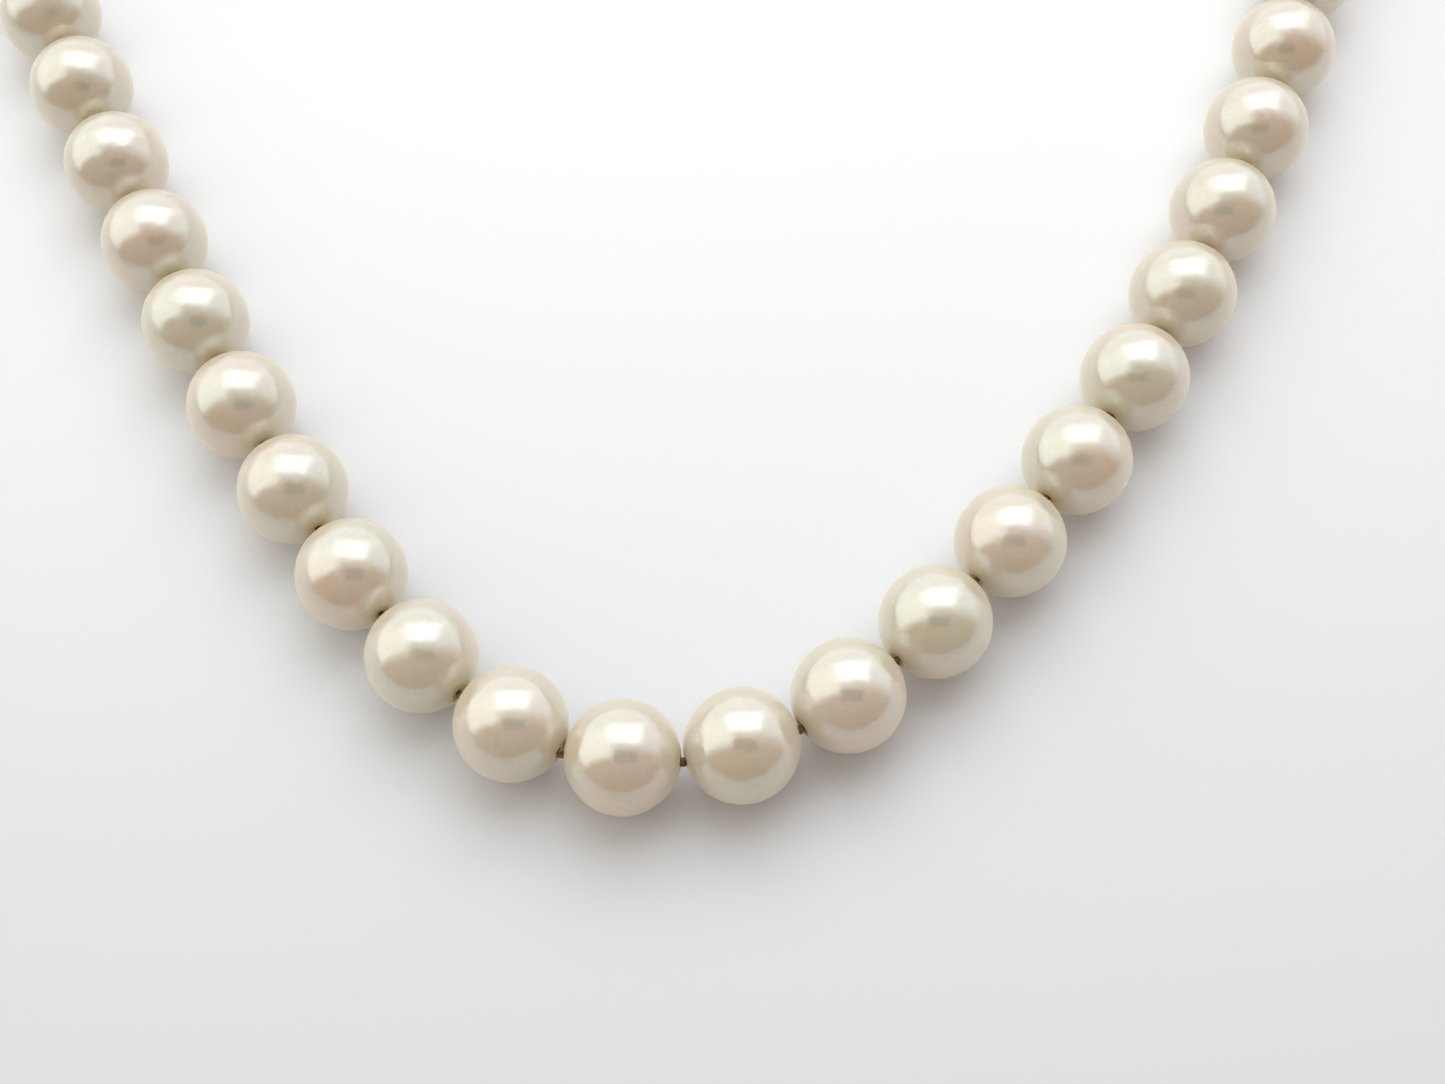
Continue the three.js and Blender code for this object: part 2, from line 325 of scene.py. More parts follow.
def makePaper():
    # matt white card stock: a flat sheet with the faint felt of its fibres, with a painted pool of light: its
    # colour is lightest inside the strand and duller farther out
    material = bpy.data.materials.new("whiteCardStock")
    material.use_nodes = True
    tree = material.node_tree
    shader = tree.nodes["Principled BSDF"]
    shader.inputs["Roughness"].default_value = 0.85
    shader.inputs["Specular IOR Level"].default_value = 0.2
    place = addNode(tree, "ShaderNodeTexCoord").outputs["Object"]
    felt = addNode(tree, "ShaderNodeTexNoise", {"Scale": perSize(1.1), "Detail": 4.0}, {"Vector": place})
    centred = addNode(tree, "ShaderNodeMapping", {
        "Location": (0, paper["poolPlace"] - aim.y, 0), "Scale": (paper["poolSqueeze"], 1.0, 1.0),
    }, {"Vector": place})
    away = addNode(tree, "ShaderNodeVectorMath", {"operation": "LENGTH"}, {0: centred.outputs[0]})
    share = addNode(tree, "ShaderNodeMapRange", {
        "interpolation_type": "SMOOTHSTEP", "From Min": 0.0, "From Max": paper["poolReach"],
    }, {"Value": away.outputs["Value"]})
    # painted light: the paper's colour goes from light inside the pool to dull outside it, a painted pool of
    # light
    tone = addNode(tree, "ShaderNodeMix", {
        "data_type": "RGBA", 6: linear(paper["light"]), 7: linear(paper["dull"]),
    }, {0: share.outputs[0]})
    bump = addNode(tree, "ShaderNodeBump", {"Strength": 0.25, "Distance": 0.00006}, {
        "Height": felt.outputs["Fac"],
    })
    tree.links.new(tone.outputs[2], shader.inputs["Base Color"])
    tree.links.new(bump.outputs[0], shader.inputs["Normal"])
    half = paper["half"]
    mesh = bpy.data.meshes.new("paperFloor")
    mesh.from_pydata([(-half, -half, 0), (half, -half, 0), (half, half, 0), (-half, half, 0)], [],
                     [(0, 1, 2, 3)])
    mesh.materials.append(material)
    floor = bpy.data.objects.new("paperFloor", mesh)
    scene.collection.objects.link(floor)


makeWorld()
makeCard()
makeFill()
makePaper()
scene.view_settings.view_transform = "Standard"
print("room, window and paper made")


# Materials

nacre = {
    "creams": ("#cecbbf", "#ccc2ac", "#d0c6b8"),
    "deepCream": "#ccb487",
    # painted light: a lighter cream near the drilled holes, where neighbouring pearls touch and shade falls
    "holePaintedLight": "#dcc79b",
    "overtones": ("#bfcdb2", "#dfc0b2"),  # the green and rose that the nacre's layers give
    "overtoneShare": 0.2,
    "sheen": "#f0e3c9",
    "satin": 0.13,
    "mirror": 0.06,
}


def makeNacre():
    # cultured pearl nacre, tumbled to a satin lustre: soft mirror, milky body, faint rubs from wear
    material = bpy.data.materials.new("tumbledNacre")
    material.use_nodes = True
    tree = material.node_tree
    shader = tree.nodes["Principled BSDF"]
    place = addNode(tree, "ShaderNodeTexCoord").outputs["Object"]
    tone = addNode(tree, "ShaderNodeAttribute", {"attribute_name": "tone"}).outputs["Fac"]
    hole = addNode(tree, "ShaderNodeAttribute", {"attribute_name": "nearHole"}).outputs["Fac"]

    ramp = addNode(tree, "ShaderNodeValToRGB", links={"Fac": tone})
    stops = ramp.color_ramp.elements
    stops[0].color = linear(nacre["creams"][0])
    stops[1].color = linear(nacre["creams"][2])
    stops.new(0.5).color = linear(nacre["creams"][1])
    mottle = addNode(tree, "ShaderNodeTexNoise", {"Scale": perSize(3.5), "Detail": 3.0}, {"Vector": place})
    share = addNode(tree, "ShaderNodeMapRange", {"From Min": 0.45, "From Max": 0.75, "To Max": 0.35}, {
        "Value": mottle.outputs["Fac"],
    })
    body = addNode(tree, "ShaderNodeMix", {"data_type": "RGBA", 7: linear(nacre["deepCream"])}, {
        0: share.outputs[0], 6: ramp.outputs["Color"],
    })
    drift = addNode(tree, "ShaderNodeTexNoise", {"Scale": perSize(7), "Detail": 1.0}, {"Vector": place})
    swing = addNode(tree, "ShaderNodeMapRange", {"From Min": 0.35, "From Max": 0.65}, {
        "Value": drift.outputs["Fac"],
    })
    overtone = addNode(tree, "ShaderNodeMix", {
        "data_type": "RGBA", 6: linear(nacre["overtones"][0]), 7: linear(nacre["overtones"][1]),
    }, {0: swing.outputs[0]})
    tinted = addNode(tree, "ShaderNodeMix", {"data_type": "RGBA", 0: nacre["overtoneShare"]}, {
        6: body.outputs[2], 7: overtone.outputs[2],
    })
    # painted light: the colour turns lighter near each drilled hole, offsetting the shade where the pearls
    # touch
    holeLit = addNode(tree, "ShaderNodeMix", {"data_type": "RGBA", 7: linear(nacre["holePaintedLight"])}, {
        0: hole, 6: tinted.outputs[2],
    })

    # rubbed patches a few millimetres wide, with hair scratches and pits in them; drawn a little
    # coarser than real ones so that they show
    patch = addNode(tree, "ShaderNodeTexNoise", {"Scale": perSize(4.5), "Detail": 1.0}, {"Vector": place})
    worn = addNode(tree, "ShaderNodeMapRange", {"From Min": 0.5, "From Max": 0.62}, {
        "Value": patch.outputs["Fac"],
    }).outputs[0]
    warp = addNode(tree, "ShaderNodeTexNoise", {"Scale": perSize(1.3), "Detail": 2.0}, {"Vector": place})
    bent = addNode(tree, "ShaderNodeMix", {"data_type": "VECTOR", "factor_mode": "UNIFORM", 0: 0.0012}, {
        4: place, 5: warp.outputs["Color"],
    })
    cracks = addNode(tree, "ShaderNodeTexVoronoi", {
        "feature": "DISTANCE_TO_EDGE", "Scale": perSize(1.0),
    }, {"Vector": bent.outputs[1]})
    line = addNode(tree, "ShaderNodeMapRange", {
        "From Min": 0.02, "From Max": 0.07, "To Min": 1.0, "To Max": 0.0,
    }, {"Value": cracks.outputs["Distance"]})
    broken = addNode(tree, "ShaderNodeTexNoise", {"Scale": perSize(0.7), "Detail": 1.0}, {"Vector": place})
    gaps = addNode(tree, "ShaderNodeMapRange", {"From Min": 0.52, "From Max": 0.58}, {
        "Value": broken.outputs["Fac"],
    })
    dashes = addNode(tree, "ShaderNodeMath", {"operation": "MULTIPLY"}, {
        0: line.outputs[0], 1: gaps.outputs[0],
    })
    scratch = addNode(tree, "ShaderNodeMath", {"operation": "MULTIPLY"}, {0: dashes.outputs[0], 1: worn})

    grain = addNode(tree, "ShaderNodeTexNoise", {"Scale": perSize(0.35), "Detail": 3.0}, {"Vector": place})
    rough = addNode(tree, "ShaderNodeMapRange", {
        "From Min": 0.35, "From Max": 0.7, "To Min": nacre["satin"], "To Max": nacre["satin"] + 0.06,
    }, {"Value": grain.outputs["Fac"]})
    rubbed = addNode(tree, "ShaderNodeMath", {"operation": "MULTIPLY_ADD", 1: 0.05}, {
        0: worn, 2: rough.outputs[0],
    })
    scored = addNode(tree, "ShaderNodeMath", {"operation": "MULTIPLY_ADD", 1: 0.04}, {
        0: scratch.outputs[0], 2: rubbed.outputs[0],
    })
    skin = addNode(tree, "ShaderNodeTexNoise", {"Scale": perSize(1.6), "Detail": 2.0}, {"Vector": place})
    wornGrain = addNode(tree, "ShaderNodeMath", {"operation": "MULTIPLY"}, {
        0: worn, 1: grain.outputs["Fac"],
    })
    height = addNode(tree, "ShaderNodeMath", {"operation": "MULTIPLY_ADD", 1: 0.02}, {
        0: wornGrain.outputs[0], 2: skin.outputs["Fac"],
    })
    bump = addNode(tree, "ShaderNodeBump", {"Strength": 0.35, "Distance": 0.00005}, {
        "Height": height.outputs[0],
    })
    tree.links.new(holeLit.outputs[2], shader.inputs["Base Color"])
    tree.links.new(scored.outputs[0], shader.inputs["Roughness"])
    tree.links.new(bump.outputs[0], shader.inputs["Normal"])
    fixed = {
        "Metallic": nacre["mirror"], "IOR": 2.5, "Subsurface Weight": 0.7, "Subsurface Scale": 0.003,
        "Coat Weight": 0.5, "Coat Roughness": 0.07, "Coat IOR": 1.55,
        "Sheen Weight": 0.9, "Sheen Roughness": 0.5,
    }
    for socket, value in fixed.items():
        shader.inputs[socket].default_value = value
    shader.inputs["Subsurface Radius"].default_value = (1.0, 0.72, 0.45)
    shader.inputs["Sheen Tint"].default_value = linear(nacre["sheen"])
    return material


silk = {"clean": "#a68857", "soiled": "#5c4226"}


def makeSilk():
    # beading silk, twisted and worn: matt, browned by wear, darker between its plies
    material = bpy.data.materials.new("wornBeadingSilk")
    material.use_nodes = True
    tree = material.node_tree
    shader = tree.nodes["Principled BSDF"]
    place = addNode(tree, "ShaderNodeTexCoord").outputs["Object"]
    dirt = addNode(tree, "ShaderNodeTexNoise", {"Scale": perSize(0.5), "Detail": 3.0}, {"Vector": place})
    share = addNode(tree, "ShaderNodeMapRange", {"From Min": 0.35, "From Max": 0.62}, {
        "Value": dirt.outputs["Fac"],
    })
    colour = addNode(tree, "ShaderNodeMix", {
        "data_type": "RGBA", 6: linear(silk["clean"]), 7: linear(silk["soiled"]),
    }, {0: share.outputs[0]})
    fibre = addNode(tree, "ShaderNodeTexNoise", {"Scale": perSize(0.06), "Detail": 2.0}, {"Vector": place})
    bump = addNode(tree, "ShaderNodeBump", {"Strength": 0.5, "Distance": 0.00003}, {
        "Height": fibre.outputs["Fac"],
    })
    tree.links.new(colour.outputs[2], shader.inputs["Base Color"])
    tree.links.new(bump.outputs[0], shader.inputs["Normal"])
    shader.inputs["Roughness"].default_value = 0.75
    shader.inputs["Sheen Weight"].default_value = 0.3
    shader.inputs["Sheen Roughness"].default_value = 0.4
    return material


silver = {
    "tarnish": "#857b68",
    "clasp": ("#b9b7b1", 0.15, 0.2),  # colour, roughness, wear
    "wire": ("#aeaba2", 0.24, 0.1),
}


def makeSilver(name, colour, roughness, wear):
    # sterling silver, machine polished and then carried: bright, with fine rubs and a warm tarnish
    material = bpy.data.materials.new(name)
    material.use_nodes = True
    tree = material.node_tree
    shader = tree.nodes["Principled BSDF"]
    place = addNode(tree, "ShaderNodeTexCoord").outputs["Object"]
    film = addNode(tree, "ShaderNodeTexNoise", {"Scale": perSize(2.4), "Detail": 3.0}, {"Vector": place})
    share = addNode(tree, "ShaderNodeMapRange", {"From Min": 0.45, "From Max": 0.8, "To Max": 0.6}, {
        "Value": film.outputs["Fac"],
    })
    tint = addNode(tree, "ShaderNodeMix", {
        "data_type": "RGBA", 6: linear(colour), 7: linear(silver["tarnish"]),
    }, {0: share.outputs[0]})
    stretched = addNode(tree, "ShaderNodeMapping", {"Scale": (1.0, 0.12, 1.0), "Rotation": (0, 0, 0.5)}, {
        "Vector": place,
    })
    rubs = addNode(tree, "ShaderNodeTexNoise", {"Scale": perSize(0.14), "Detail": 2.0}, {
        "Vector": stretched.outputs[0],
    })
    rough = addNode(tree, "ShaderNodeMapRange", {
        "From Min": 0.35, "From Max": 0.7, "To Min": roughness, "To Max": roughness + 0.14,
    }, {"Value": rubs.outputs["Fac"]})
    bump = addNode(tree, "ShaderNodeBump", {"Strength": wear, "Distance": 0.00001}, {
        "Height": rubs.outputs["Fac"],
    })
    tree.links.new(tint.outputs[2], shader.inputs["Base Color"])
    tree.links.new(rough.outputs[0], shader.inputs["Roughness"])
    tree.links.new(bump.outputs[0], shader.inputs["Normal"])
    shader.inputs["Metallic"].default_value = 1.0
    return material


nacreMaterial = makeNacre()
silkMaterial = makeSilk()
silverMaterial = makeSilver("polishedSilver", *silver["clasp"])
wireMaterial = makeSilver("gimpWire", *silver["wire"])
print("materials made")


# Pearls: a profile turned about the drilled hole, then made a little out of round

pearl = {
    "drill": 0.8 * mm,
    "mouth": 1.3 * mm,
    "mouthDepth": 0.25 * mm,
    "rings": 44,
    "sides": 72,
    "outOfRound": 0.05 * mm,
    "rippleSize": 6.0,
    "ripple": 0.012 * mm,
    "ease": 0.008 * mm,  # so that two neighbours only touch when the silk bends fully
    # how far from the hole the painted light near the holes reaches
    "holeLightReach": 0.22,
}


def makePearlTree():
    tree, sizes = startTree("drilledPearl", {
        "Diameter": "Float", "Drill": "Float", "Mouth": "Float", "Mouth Depth": "Float", "Rings": "Int",
        "Sides": "Int", "Out Of Round": "Float", "Ripple": "Float", "Hole Light Reach": "Float",
        "Seed": "Float", "Material": "Material",
    })
    given = sizes.outputs

    maths = mathsOf(tree)
    # profile points: the rings from mouth to mouth, then the two ends of the drilled bore
    radius = maths("DIVIDE", given["Diameter"], 2.0)
    start = maths("ARCSINE", maths("DIVIDE", given["Mouth"], given["Diameter"]))
    index = addNode(tree, "GeometryNodeInputIndex").outputs[0]
    share = maths("DIVIDE", index, maths("SUBTRACT", given["Rings"], 1.0))
    angle = maths("MULTIPLY_ADD", share, maths("MULTIPLY_ADD", start, -2.0, math.pi), start)
    ring = addNode(tree, "ShaderNodeCombineXYZ", links={
        "X": maths("MULTIPLY", radius, maths("SINE", angle)),
        "Y": maths("MULTIPLY", radius, maths("COSINE", angle)),
    })
    boreEnd = maths("SUBTRACT", maths("MULTIPLY", radius, maths("COSINE", start)), given["Mouth Depth"])
    whichEnd = maths("MULTIPLY_ADD", maths("SUBTRACT", index, given["Rings"]), 2.0, -1.0)
    bore = addNode(tree, "ShaderNodeCombineXYZ", links={
        "X": maths("DIVIDE", given["Drill"], 2.0), "Y": maths("MULTIPLY", boreEnd, whichEnd),
    })
    inBore = addNode(tree, "FunctionNodeCompare", {"data_type": "INT", "operation": "GREATER_EQUAL"}, {
        2: index, 3: given["Rings"],
    })
    spot = addNode(tree, "GeometryNodeSwitch", {"input_type": "VECTOR"}, {
        "Switch": inBore.outputs[0], "False": ring.outputs[0], "True": bore.outputs[0],
    })
    points = addNode(tree, "GeometryNodePoints", links={
        "Count": maths("ADD", given["Rings"], 2.0), "Position": spot.outputs[0],
    })
    profile = addNode(tree, "GeometryNodePointsToCurves", links={"Points": points.outputs[0]})
    closed = addNode(tree, "GeometryNodeSetSplineCyclic", {"Cyclic": True}, {"Geometry": profile.outputs[0]})
    axle = addNode(tree, "GeometryNodeCurvePrimitiveCircle", {"Radius": 1e-6}, {"Resolution": given["Sides"]})
    turned = addNode(tree, "GeometryNodeCurveToMesh", links={
        "Curve": axle.outputs[0], "Profile Curve": closed.outputs[0],
    })

    # each pearl draws its own place in the noise from its seed
    place = addNode(tree, "GeometryNodeInputPosition").outputs[0]
    drawn = addNode(tree, "FunctionNodeRandomValue", {
        "data_type": "FLOAT_VECTOR", 0: (-1.0, -1.0, -1.0), 1: (1.0, 1.0, 1.0),
    }, {"Seed": given["Seed"]})
    moved = addNode(tree, "ShaderNodeVectorMath", {"operation": "ADD"}, {0: place, 1: drawn.outputs[0]})
    broad = addNode(tree, "ShaderNodeTexNoise", {"Scale": perSize(11), "Detail": 0.0}, {
        "Vector": moved.outputs[0],
    })
    fine = addNode(tree, "ShaderNodeTexNoise", {"Scale": perSize(pearl["rippleSize"] / 2), "Detail": 1.0}, {
        "Vector": moved.outputs[0],
    })
    broadDrop = maths("SUBTRACT", broad.outputs["Fac"], 0.3)
    drop = maths("ADD", maths("MULTIPLY", broadDrop, given["Out Of Round"]),
                 maths("MULTIPLY", maths("SUBTRACT", fine.outputs["Fac"], 0.5), given["Ripple"]))
    outward = addNode(tree, "ShaderNodeVectorMath", {"operation": "NORMALIZE"}, {0: place})
    inward = addNode(tree, "ShaderNodeVectorMath", {"operation": "SCALE"}, {
        0: outward.outputs[0], "Scale": maths("MULTIPLY", drop, -1.0),
    })
    reach = addNode(tree, "ShaderNodeVectorMath", {"operation": "LENGTH"}, {0: place}).outputs["Value"]
    onSkin = maths("GREATER_THAN", reach, maths("MULTIPLY", radius, 0.99))
    shaped = addNode(tree, "GeometryNodeSetPosition", links={
        "Geometry": turned.outputs[0], "Selection": onSkin, "Offset": inward.outputs[0],
    })

    # attributes for the nacre: one tone for the whole pearl, and how near its drilled hole a point is, which
    # sets the painted light near the holes where the pearls touch
    tone = addNode(tree, "FunctionNodeRandomValue", {"data_type": "FLOAT"}, {
        "Seed": maths("ADD", given["Seed"], 100.0),
    })
    toned = addNode(tree, "GeometryNodeStoreNamedAttribute", {"Name": "tone"}, {
        "Geometry": shaped.outputs[0], "Value": tone.outputs[1],
    })
    parts = addNode(tree, "ShaderNodeSeparateXYZ", links={"Vector": place})
    across = addNode(tree, "ShaderNodeCombineXYZ", links={"X": parts.outputs[0], "Y": parts.outputs[1]})
    fromAxis = addNode(tree, "ShaderNodeVectorMath", {"operation": "LENGTH"}, {0: across.outputs[0]})
    near = addNode(tree, "ShaderNodeMapRange", {
        "interpolation_type": "SMOOTHSTEP", "From Min": 0.0, "To Min": 1.0, "To Max": 0.0,
    }, {
        "Value": maths("DIVIDE", fromAxis.outputs["Value"], given["Diameter"]),
        "From Max": given["Hole Light Reach"],
    })
    holed = addNode(tree, "GeometryNodeStoreNamedAttribute", {"Name": "nearHole"}, {
        "Geometry": toned.outputs[0], "Value": near.outputs[0],
    })
    endTree(tree, holed.outputs[0], sizes)
    return tree


def makePearls():
    tree = makePearlTree()
    for number, name in enumerate(pearlNames, 1):
        low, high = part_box(name)
        along = knots[number] - knots[number - 1]
        mesh = turnOut(grow(tree, {
            "Diameter": high.z - low.z - 2 * pearl["ease"], "Drill": pearl["drill"], "Mouth": pearl["mouth"],
            "Mouth Depth": pearl["mouthDepth"], "Rings": pearl["rings"], "Sides": pearl["sides"],
            "Out Of Round": pearl["outOfRound"], "Ripple": pearl["ripple"],
            "Hole Light Reach": pearl["holeLightReach"], "Seed": float(number), "Material": nacreMaterial,
        }))
        middle = (knots[number] + knots[number - 1]) / 2
        mesh.transform(Matrix.Translation(middle) @ along.to_track_quat("Z", "Y").to_matrix().to_4x4())
        addPiece(f"nacre_{name}", mesh, name, [name])


makePearls()
print("pearls turned:", pearlCount)


# Silk: one piece with each pearl, from its inner knot to its outer one, so that it moves with it

thread = {
    "diameter": 0.5 * mm,
    "twistPitch": 1.2 * mm,
    "knotRadius": 0.23 * mm,
    "knotDepth": 0.17 * mm,
    "knotTube": 0.3 * mm,
}


def makeSilkTree():
    tree, sizes = startTree("knottedSilk", {
        "Diameter": "Float", "Twist Pitch": "Float", "Knot Radius": "Float", "Knot Depth": "Float",
        "Knot Tube": "Float", "Knots At Start": "Int", "Knots At End": "Int", "Material": "Material",
    })
    given = sizes.outputs
    maths = mathsOf(tree)
    rail = addNode(tree, "GeometryNodeMeshToCurve", links={"Mesh": given["Geometry"]})
    fine = addNode(tree, "GeometryNodeResampleCurve", {"Count": 32}, {"Curve": rail.outputs[0]})
    along = addNode(tree, "GeometryNodeSplineParameter").outputs["Length"]
    twist = maths("MULTIPLY", maths("DIVIDE", along, given["Twist Pitch"]), 2 * math.pi)
    twisted = addNode(tree, "GeometryNodeSetCurveTilt", links={"Curve": fine.outputs[0], "Tilt": twist})

    # three plies: every fourth point of the section is a ply's crown
    section = addNode(tree, "GeometryNodeCurvePrimitiveCircle", {"Resolution": 12}, {
        "Radius": maths("DIVIDE", given["Diameter"], 2.0),
    })
    index = addNode(tree, "GeometryNodeInputIndex").outputs[0]
    crown = maths("MULTIPLY_ADD", maths("COSINE", maths("MULTIPLY", index, math.pi / 2)), 0.12, 0.88)
    place = addNode(tree, "GeometryNodeInputPosition").outputs[0]
    plied = addNode(tree, "ShaderNodeVectorMath", {"operation": "SCALE"}, {0: place, "Scale": crown})
    section = addNode(tree, "GeometryNodeSetPosition", links={
        "Geometry": section.outputs[0], "Position": plied.outputs[0],
    })
    strand = addNode(tree, "GeometryNodeCurveToMesh", {"Fill Caps": True}, {
        "Curve": twisted.outputs[0], "Profile Curve": section.outputs[0],
    })

    # the overhand knot, pulled tight round the strand
    turn = maths("MULTIPLY", index, 2 * math.pi / 36)
    twice = maths("MULTIPLY", turn, 2.0)
    third = maths("DIVIDE", given["Knot Radius"], 3.0)
    sideways = maths("MULTIPLY_ADD", maths("SINE", twice), 2.0, maths("SINE", turn))
    upwards = maths("MULTIPLY_ADD", maths("COSINE", twice), -2.0, maths("COSINE", turn))
    spot = addNode(tree, "ShaderNodeCombineXYZ", links={
        "X": maths("MULTIPLY", sideways, third),
        "Y": maths("MULTIPLY", upwards, third),
        "Z": maths("MULTIPLY", maths("SINE", maths("MULTIPLY", turn, 3.0)), given["Knot Depth"]),
    })
    points = addNode(tree, "GeometryNodePoints", {"Count": 36}, {"Position": spot.outputs[0]})
    line = addNode(tree, "GeometryNodePointsToCurves", links={"Points": points.outputs[0]})
    closed = addNode(tree, "GeometryNodeSetSplineCyclic", {"Cyclic": True}, {"Geometry": line.outputs[0]})
    tube = addNode(tree, "GeometryNodeCurvePrimitiveCircle", {"Resolution": 6}, {
        "Radius": maths("DIVIDE", given["Knot Tube"], 2.0),
    })
    knot = addNode(tree, "GeometryNodeCurveToMesh", links={
        "Curve": closed.outputs[0], "Profile Curve": tube.outputs[0],
    })
    ends = addNode(tree, "GeometryNodeCurveEndpointSelection", links={
        "Start Size": given["Knots At Start"], "End Size": given["Knots At End"],
    })
    facing = addNode(tree, "FunctionNodeAlignRotationToVector", {"axis": "Z"}, {
        "Vector": addNode(tree, "GeometryNodeInputTangent").outputs[0],
    })
    tied = addNode(tree, "GeometryNodeInstanceOnPoints", links={
        "Points": rail.outputs[0], "Selection": ends.outputs[0], "Instance": knot.outputs[0],
        "Rotation": facing.outputs[0],
    })
    both = addNode(tree, "GeometryNodeJoinGeometry")
    tree.links.new(strand.outputs[0], both.inputs[0])
    tree.links.new(tied.outputs[0], both.inputs[0])
    endTree(tree, both.outputs[0], sizes)
    return tree


def makeSilkPieces():
    tree = makeSilkTree()

    def silkAlong(path, start, end):
        return turnOut(grow(tree, {
            "Diameter": thread["diameter"], "Twist Pitch": thread["twistPitch"],
            "Knot Radius": thread["knotRadius"], "Knot Depth": thread["knotDepth"],
            "Knot Tube": thread["knotTube"], "Knots At Start": start, "Knots At End": end,
            "Material": silkMaterial,
        }, path))

    middle = perArm
    for number, name in enumerate(pearlNames, 1):
        path = (knots[number - 1], knots[number])
        mesh = silkAlong(path, int(number <= middle), int(number >= middle))
        addPiece(f"silk_{number:02d}", mesh, name, ["silk_thread"] if number == middle else ())
    for side, place in (("left", boxEnd), ("right", tongueEnd)):
        upper, lower = gimp["path"][0], gimp["path"][-1]
        tail = [(upper[0] + 0.2, upper[1]), (0.0, (upper[1] + lower[1]) / 2), (lower[0] + 0.2, lower[1])]
        path = [place @ Vector((x * mm, 0, z * mm)) for x, z in tail]
        addPiece(f"silk_tail_{side}", silkAlong(path, 0, 0), f"gimp_{side}")


# Gimp: a fine coil of wire over the silk, from the last pearl round the clasp's loop and back

gimp = {
    "outer": 0.8 * mm,
    "wire": 0.12 * mm,
    "turns": 58,
    "hold": (3.2, 2.55),  # the loop's wire that it goes round, in x and z
    "wrap": 1.1,
    "wrapAngles": (80, 35, -10, -55, -100, -140),
    "path": [(0.7, 4.475), (1.2, 4.475), (1.2, 3.358), (0.7, 3.525)],
}


def makeGimpTree():
    tree, sizes = startTree("gimpCoil", {
        "Outer": "Float", "Wire": "Float", "Turns": "Int", "Material": "Material",
    })
    given = sizes.outputs
    maths = mathsOf(tree)
    rail = addNode(tree, "GeometryNodeMeshToCurve", links={"Mesh": given["Geometry"]})
    bezier = addNode(tree, "GeometryNodeCurveSplineType", {"spline_type": "BEZIER"}, {
        "Curve": rail.outputs[0],
    })
    eased = addNode(tree, "GeometryNodeCurveSetHandles", {"handle_type": "AUTO"}, {
        "Curve": bezier.outputs[0],
    })
    fine = addNode(tree, "GeometryNodeResampleCurve", links={
        "Curve": eased.outputs[0], "Count": maths("MULTIPLY_ADD", given["Turns"], 8.0, 1.0),
    })
    index = addNode(tree, "GeometryNodeInputIndex").outputs[0]
    angle = maths("MULTIPLY", index, math.pi / 4)
    radius = maths("DIVIDE", maths("SUBTRACT", given["Outer"], given["Wire"]), 2.0)
    normal = addNode(tree, "GeometryNodeInputNormal").outputs[0]
    tangent = addNode(tree, "GeometryNodeInputTangent").outputs[0]
    across = addNode(tree, "ShaderNodeVectorMath", {"operation": "CROSS_PRODUCT"}, {0: tangent, 1: normal})
    first = addNode(tree, "ShaderNodeVectorMath", {"operation": "SCALE"}, {
        0: normal, "Scale": maths("MULTIPLY", maths("COSINE", angle), radius),
    })
    second = addNode(tree, "ShaderNodeVectorMath", {"operation": "SCALE"}, {
        0: across.outputs[0], "Scale": maths("MULTIPLY", maths("SINE", angle), radius),
    })
    offset = addNode(tree, "ShaderNodeVectorMath", {"operation": "ADD"}, {
        0: first.outputs[0], 1: second.outputs[0],
    })
    coil = addNode(tree, "GeometryNodeSetPosition", links={
        "Geometry": fine.outputs[0], "Offset": offset.outputs[0],
    })
    section = addNode(tree, "GeometryNodeCurvePrimitiveCircle", {"Resolution": 6}, {
        "Radius": maths("DIVIDE", given["Wire"], 2.0),
    })
    wire = addNode(tree, "GeometryNodeCurveToMesh", {"Fill Caps": True}, {
        "Curve": coil.outputs[0], "Profile Curve": section.outputs[0],
    })
    endTree(tree, wire.outputs[0], sizes)
    return tree


def makeGimps():
    tree = makeGimpTree()
    holdX, holdZ = gimp["hold"]
    angles = [math.radians(degrees) for degrees in gimp["wrapAngles"]]
    bend = [(holdX + gimp["wrap"] * math.cos(a), holdZ + gimp["wrap"] * math.sin(a)) for a in angles]
    around = gimp["path"][:2] + bend + gimp["path"][2:]
    for side, place in (("left", boxEnd), ("right", tongueEnd)):
        path = [place @ Vector((x * mm, 0, z * mm)) for x, z in around]
        mesh = turnOut(grow(tree, {
            "Outer": gimp["outer"], "Wire": gimp["wire"], "Turns": gimp["turns"], "Material": wireMaterial,
        }, path))
        addPiece(f"gimp_coil_{side}", mesh, f"gimp_{side}", [f"gimp_{side}"])


# Box clasp: a silver box with a domed beaded lid, and a folded tongue with a thumb tab

